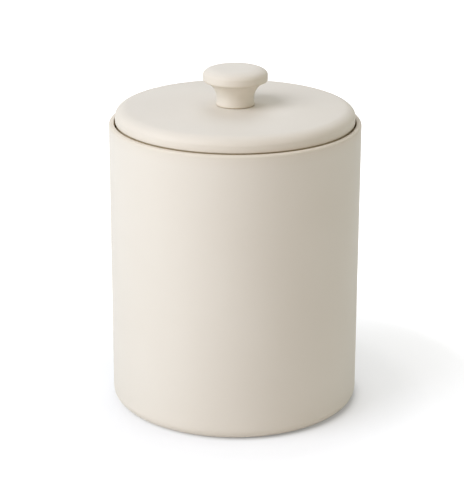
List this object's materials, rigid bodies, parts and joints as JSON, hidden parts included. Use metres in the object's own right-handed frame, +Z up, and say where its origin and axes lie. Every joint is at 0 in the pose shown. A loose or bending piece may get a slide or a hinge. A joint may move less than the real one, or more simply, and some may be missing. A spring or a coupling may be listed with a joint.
{
  "type": "lidded ceramic jar",
  "caption": "Plain cylindrical stoneware jar of pyxis form, with a drop-in domed lid on an inner ledge and a screwed-on mushroom knob.",
  "frame": {"origin": "centre of the foot ring, on the surface the jar stands on", "axes": "+Z up along the jar's axis of revolution; the jar, lid and knob are round, so +X and +Y are free"},
  "size_m": [0.12, 0.12, 0.1648],
  "materials": {
    "jar_glaze": "satin",
    "lid_glaze": "satin",
    "knob_glaze": "satin",
    "silicone": "matte",
    "brass": "satin",
    "stainless_steel": "satin"
  },
  "bodies": {
    "jar": {"jar_body": "jar_glaze"},
    "lid": {"lid": "lid_glaze", "knob": "knob_glaze", "knob_pad": "silicone", "knob_insert": "brass", "knob_screw": "stainless_steel", "screw_washer": "stainless_steel", "lid_washer": "silicone"}
  },
  "joints": [
    {"name": "lid_lift", "type": "slide", "parent": "jar", "child": "lid", "axis": [0, 0, 1], "range_m": [0, 0.1]}
  ]
}
